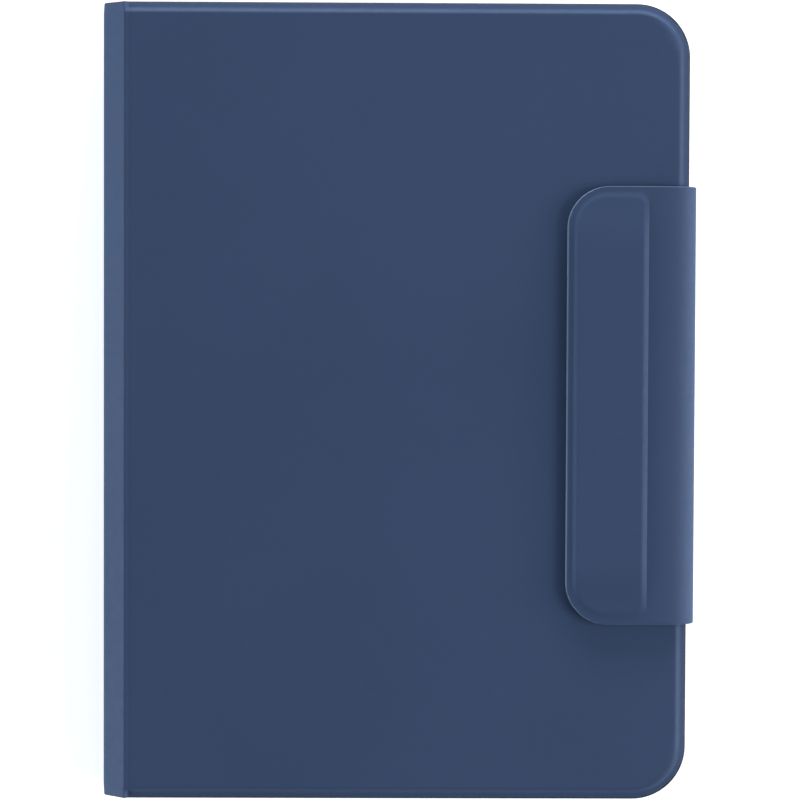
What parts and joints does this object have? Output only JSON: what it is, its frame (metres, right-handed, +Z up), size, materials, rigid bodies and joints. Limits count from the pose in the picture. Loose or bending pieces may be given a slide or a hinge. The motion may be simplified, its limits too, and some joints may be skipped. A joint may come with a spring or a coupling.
{
  "type": "tablet keyboard case",
  "caption": "Folio case for a tablet with a keyboard inside the front cover, a snap-in tray, a folding spine and a magnetic wrap-over closure flap.",
  "frame": {"origin": "middle of the closed case's bounding box, on its underside, which is the back cover's outer face", "axes": "+Z up through the closed case, +X from the spine to the closure flap, +Y along the spine"},
  "size_m": [0.1938, 0.26, 0.0257],
  "materials": {
    "cover_leather": "matte navy faux leather, fine smooth grain",
    "lining": "soft dark grey microfibre",
    "board": "grey-brown stiff board",
    "tray_shell": "matte black moulded shell",
    "tray_rubber": "soft black rubber",
    "adhesive": "translucent adhesive sheet",
    "keyboard_case": "matte black plastic with a fine texture",
    "keycap": "matte black caps with pale grey legends",
    "switch_plastic": "satin black plastic",
    "steel": "plain rolled steel",
    "magnet": "nickel-plated magnet",
    "silicone": "matte dark silicone",
    "battery_foil": "pouch foil",
    "circuit": "green solder mask",
    "light": "clear light pipe"
  },
  "bodies": {
    "back_cover": {"back_cover_skin": "cover_leather", "back_board_lower": "board", "back_board_upper": "board", "back_cover_lining": "lining", "tray_bond_sheet": "adhesive", "tablet_tray": "tray_shell", "camera_ring": "tray_rubber"},
    "lower_shoulder": {"lower_shoulder_skin": "cover_leather", "lower_shoulder_lining": "lining"},
    "spine": {"spine_skin": "cover_leather", "spine_stiffener": "board", "spine_lining": "lining"},
    "upper_shoulder": {"upper_shoulder_skin": "cover_leather", "upper_shoulder_lining": "lining"},
    "front_cover": {"front_cover_skin": "cover_leather", "front_cover_board": "board", "closure_steel_plate": "steel", "front_cover_lining": "lining", "keyboard_top_case": "keyboard_case", "keyboard_bottom_case": "keyboard_case", "support_plate": "steel", "key_membrane": "silicone", "rubber_domes": "silicone", "battery_cell": "battery_foil", "circuit_board": "circuit", "stand_magnets": "magnet", "charging_port": "steel", "grip_strip": "silicone", "bumper_pads": "silicone", "indicator_lights": "light", "case_screws": "steel"},
    "flap_strap": {"flap_strap_skin": "cover_leather", "flap_strap_lining": "lining"},
    "flap_shoulder": {"flap_shoulder_sheet": "cover_leather"},
    "flap_tab": {"flap_tab_skin": "cover_leather", "flap_tab_lining": "lining", "flap_stiffener": "board", "flap_magnets": "magnet"},
    "power_switch": {"power_switch": "switch_plastic"},
    "pairing_button": {"pairing_button": "switch_plastic"},
    "power_button_pad": {"power_button_pad": "tray_rubber"},
    "volume_up_pad": {"volume_up_pad": "tray_rubber"},
    "volume_down_pad": {"volume_down_pad": "tray_rubber"},
    "space_key": {"space_key": "keycap"},
    "left_shift_key": {"left_shift_key": "keycap"},
    "right_shift_key": {"right_shift_key": "keycap"},
    "caps_key": {"caps_key": "keycap"},
    "enter_key": {"enter_key": "keycap"},
    "tab_key": {"tab_key": "keycap"},
    "backspace_key": {"backspace_key": "keycap"},
    "left_arrow_key": {"left_arrow_key": "keycap"},
    "right_arrow_key": {"right_arrow_key": "keycap"},
    "up_arrow_key": {"up_arrow_key": "keycap"},
    "down_arrow_key": {"down_arrow_key": "keycap"},
    "modifier_keys": {"modifier_keys": "keycap"},
    "lower_letter_keys": {"lower_letter_keys": "keycap"},
    "home_letter_keys": {"home_letter_keys": "keycap"},
    "upper_letter_keys": {"upper_letter_keys": "keycap"},
    "number_keys": {"number_keys": "keycap"},
    "function_keys": {"function_keys": "keycap"}
  },
  "joints": [
    {"name": "lower_shoulder_fold", "type": "hinge", "parent": "back_cover", "child": "lower_shoulder", "pos_m": [-0.09016, 0, 0.0007], "axis": [0, -1, 0], "range_deg": [0, 45]},
    {"name": "spine_wall_fold", "type": "hinge", "parent": "lower_shoulder", "child": "spine", "pos_m": [-0.09615, 0, 0.00669], "axis": [0, -1, 0], "range_deg": [0, 45]},
    {"name": "upper_shoulder_fold", "type": "hinge", "parent": "spine", "child": "upper_shoulder", "pos_m": [-0.09615, 0, 0.01591], "axis": [0, -1, 0], "range_deg": [0, 45]},
    {"name": "front_cover_fold", "type": "hinge", "parent": "upper_shoulder", "child": "front_cover", "pos_m": [-0.09016, 0, 0.0219], "axis": [0, -1, 0], "range_deg": [0, 45]},
    {"name": "flap_root_fold", "type": "hinge", "parent": "back_cover", "child": "flap_strap", "pos_m": [0.09615, 0, 0.0007], "axis": [0, 1, 0], "range_deg": [0, 90]},
    {"name": "flap_shoulder_fold", "type": "hinge", "parent": "flap_strap", "child": "flap_shoulder", "pos_m": [0.09615, 0, 0.0207], "axis": [0, 1, 0], "range_deg": [0, 45]},
    {"name": "flap_tab_fold", "type": "hinge", "parent": "flap_shoulder", "child": "flap_tab", "pos_m": [0.09285, 0, 0.024], "axis": [0, 1, 0], "range_deg": [0, 45]},
    {"name": "space_key_press", "type": "slide", "parent": "front_cover", "child": "space_key", "axis": [0, 0, 1], "range_m": [0, 0.0012], "stiffness_N_per_m": 300, "springref_m": -0.0008, "deforming": ["rubber_domes"]},
    {"name": "left_shift_press", "type": "slide", "parent": "front_cover", "child": "left_shift_key", "axis": [0, 0, 1], "range_m": [0, 0.0012], "stiffness_N_per_m": 300, "springref_m": -0.0008},
    {"name": "right_shift_press", "type": "slide", "parent": "front_cover", "child": "right_shift_key", "axis": [0, 0, 1], "range_m": [0, 0.0012], "stiffness_N_per_m": 300, "springref_m": -0.0008},
    {"name": "caps_key_press", "type": "slide", "parent": "front_cover", "child": "caps_key", "axis": [0, 0, 1], "range_m": [0, 0.0012], "stiffness_N_per_m": 300, "springref_m": -0.0008},
    {"name": "enter_key_press", "type": "slide", "parent": "front_cover", "child": "enter_key", "axis": [0, 0, 1], "range_m": [0, 0.0012], "stiffness_N_per_m": 300, "springref_m": -0.0008},
    {"name": "tab_key_press", "type": "slide", "parent": "front_cover", "child": "tab_key", "axis": [0, 0, 1], "range_m": [0, 0.0012], "stiffness_N_per_m": 300, "springref_m": -0.0008},
    {"name": "backspace_press", "type": "slide", "parent": "front_cover", "child": "backspace_key", "axis": [0, 0, 1], "range_m": [0, 0.0012], "stiffness_N_per_m": 300, "springref_m": -0.0008},
    {"name": "left_arrow_press", "type": "slide", "parent": "front_cover", "child": "left_arrow_key", "axis": [0, 0, 1], "range_m": [0, 0.0012], "stiffness_N_per_m": 300, "springref_m": -0.0008},
    {"name": "right_arrow_press", "type": "slide", "parent": "front_cover", "child": "right_arrow_key", "axis": [0, 0, 1], "range_m": [0, 0.0012], "stiffness_N_per_m": 300, "springref_m": -0.0008},
    {"name": "up_arrow_press", "type": "slide", "parent": "front_cover", "child": "up_arrow_key", "axis": [0, 0, 1], "range_m": [0, 0.0012], "stiffness_N_per_m": 300, "springref_m": -0.0008},
    {"name": "down_arrow_press", "type": "slide", "parent": "front_cover", "child": "down_arrow_key", "axis": [0, 0, 1], "range_m": [0, 0.0012], "stiffness_N_per_m": 300, "springref_m": -0.0008},
    {"name": "modifier_keys_press", "type": "slide", "parent": "front_cover", "child": "modifier_keys", "axis": [0, 0, 1], "range_m": [0, 0.0012], "stiffness_N_per_m": 300, "springref_m": -0.0008},
    {"name": "lower_letters_press", "type": "slide", "parent": "front_cover", "child": "lower_letter_keys", "axis": [0, 0, 1], "range_m": [0, 0.0012], "stiffness_N_per_m": 300, "springref_m": -0.0008},
    {"name": "home_letters_press", "type": "slide", "parent": "front_cover", "child": "home_letter_keys", "axis": [0, 0, 1], "range_m": [0, 0.0012], "stiffness_N_per_m": 300, "springref_m": -0.0008},
    {"name": "upper_letters_press", "type": "slide", "parent": "front_cover", "child": "upper_letter_keys", "axis": [0, 0, 1], "range_m": [0, 0.0012], "stiffness_N_per_m": 300, "springref_m": -0.0008},
    {"name": "number_keys_press", "type": "slide", "parent": "front_cover", "child": "number_keys", "axis": [0, 0, 1], "range_m": [0, 0.0012], "stiffness_N_per_m": 300, "springref_m": -0.0008},
    {"name": "function_keys_press", "type": "slide", "parent": "front_cover", "child": "function_keys", "axis": [0, 0, 1], "range_m": [0, 0.0012], "stiffness_N_per_m": 300, "springref_m": -0.0008},
    {"name": "power_switch_slide", "type": "slide", "parent": "front_cover", "child": "power_switch", "axis": [0, -1, 0], "range_m": [0, 0.003]},
    {"name": "pairing_button_press", "type": "slide", "parent": "front_cover", "child": "pairing_button", "axis": [0, 0, 1], "range_m": [0, 0.0005], "stiffness_N_per_m": 300, "springref_m": -0.0008},
    {"name": "power_pad_press", "type": "slide", "parent": "back_cover", "child": "power_button_pad", "axis": [0, -1, 0], "range_m": [0, 0.0005], "stiffness_N_per_m": 300, "springref_m": -0.0008},
    {"name": "volume_up_press", "type": "slide", "parent": "back_cover", "child": "volume_up_pad", "axis": [-1, 0, 0], "range_m": [0, 0.0005], "stiffness_N_per_m": 300, "springref_m": -0.0008},
    {"name": "volume_down_press", "type": "slide", "parent": "back_cover", "child": "volume_down_pad", "axis": [-1, 0, 0], "range_m": [0, 0.0005], "stiffness_N_per_m": 300, "springref_m": -0.0008}
  ],
  "couplings": [
    {"joint": "flap_shoulder_fold", "follows": "flap_root_fold", "ratio": 0.5},
    {"joint": "flap_tab_fold", "follows": "flap_root_fold", "ratio": 0.5}
  ]
}
